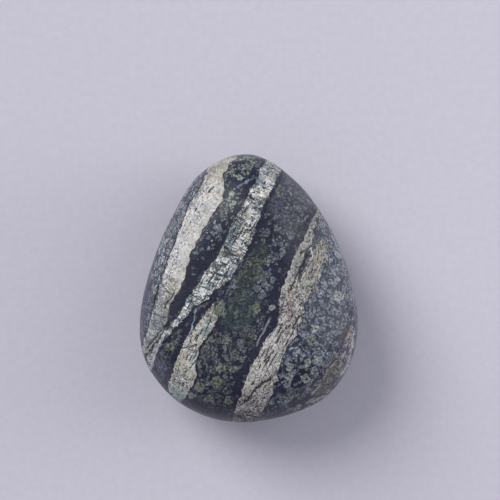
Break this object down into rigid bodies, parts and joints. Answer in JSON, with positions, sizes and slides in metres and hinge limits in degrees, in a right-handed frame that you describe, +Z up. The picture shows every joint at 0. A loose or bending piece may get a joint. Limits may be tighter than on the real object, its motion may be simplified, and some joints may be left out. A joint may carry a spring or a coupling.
{
  "type": "serpentine pebble",
  "caption": "Egg shaped tumbled serpentine pebble with a satin polish and pale fibrous bands, lying flat.",
  "frame": {"origin": "on the surface that the pebble rests on, under the middle of its box", "axes": "+Y along the length, towards the narrow end; +Z up through the banded dome; +X to the right in the picture"},
  "size_m": [0.026, 0.032, 0.0154],
  "materials": {
    "serpentine": "tumbled and satin polished"
  },
  "bodies": {
    "root": {"serpentine_pebble": "serpentine"}
  },
  "joints": []
}
